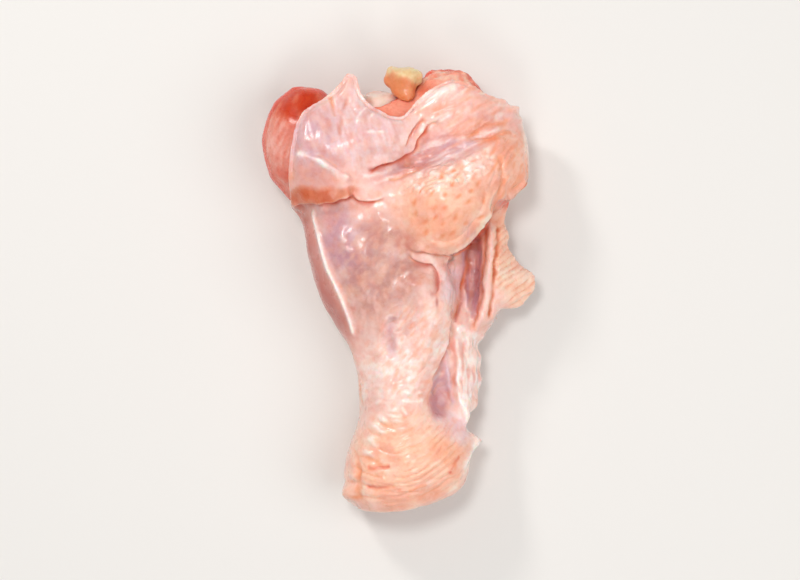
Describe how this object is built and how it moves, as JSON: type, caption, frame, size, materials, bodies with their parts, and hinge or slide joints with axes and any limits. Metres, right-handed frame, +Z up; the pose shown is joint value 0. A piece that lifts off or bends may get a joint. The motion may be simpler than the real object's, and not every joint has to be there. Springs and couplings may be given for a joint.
{
  "type": "raw chicken wing drumette",
  "caption": "Raw chicken drumette, the upper joint of a wing, with pink skin, red meat and yellow fat at the shoulder cut and loose skin along one side.",
  "frame": {"origin": "under the middle of the drumette, on the surface that it lies on", "axes": "+Z up, +Y along the limb towards the shoulder cut, +X towards the side with the loose skin"},
  "size_m": [0.0538, 0.0876, 0.0254],
  "materials": {
    "skin": "wet pale skin",
    "meat": "wet raw meat",
    "bone": "satin cartilage and bone",
    "fat": "soft glossy fat"
  },
  "bodies": {
    "root": {"skin": "skin", "meat": "meat", "bone": "bone", "shoulder_fat": "fat"}
  },
  "joints": []
}
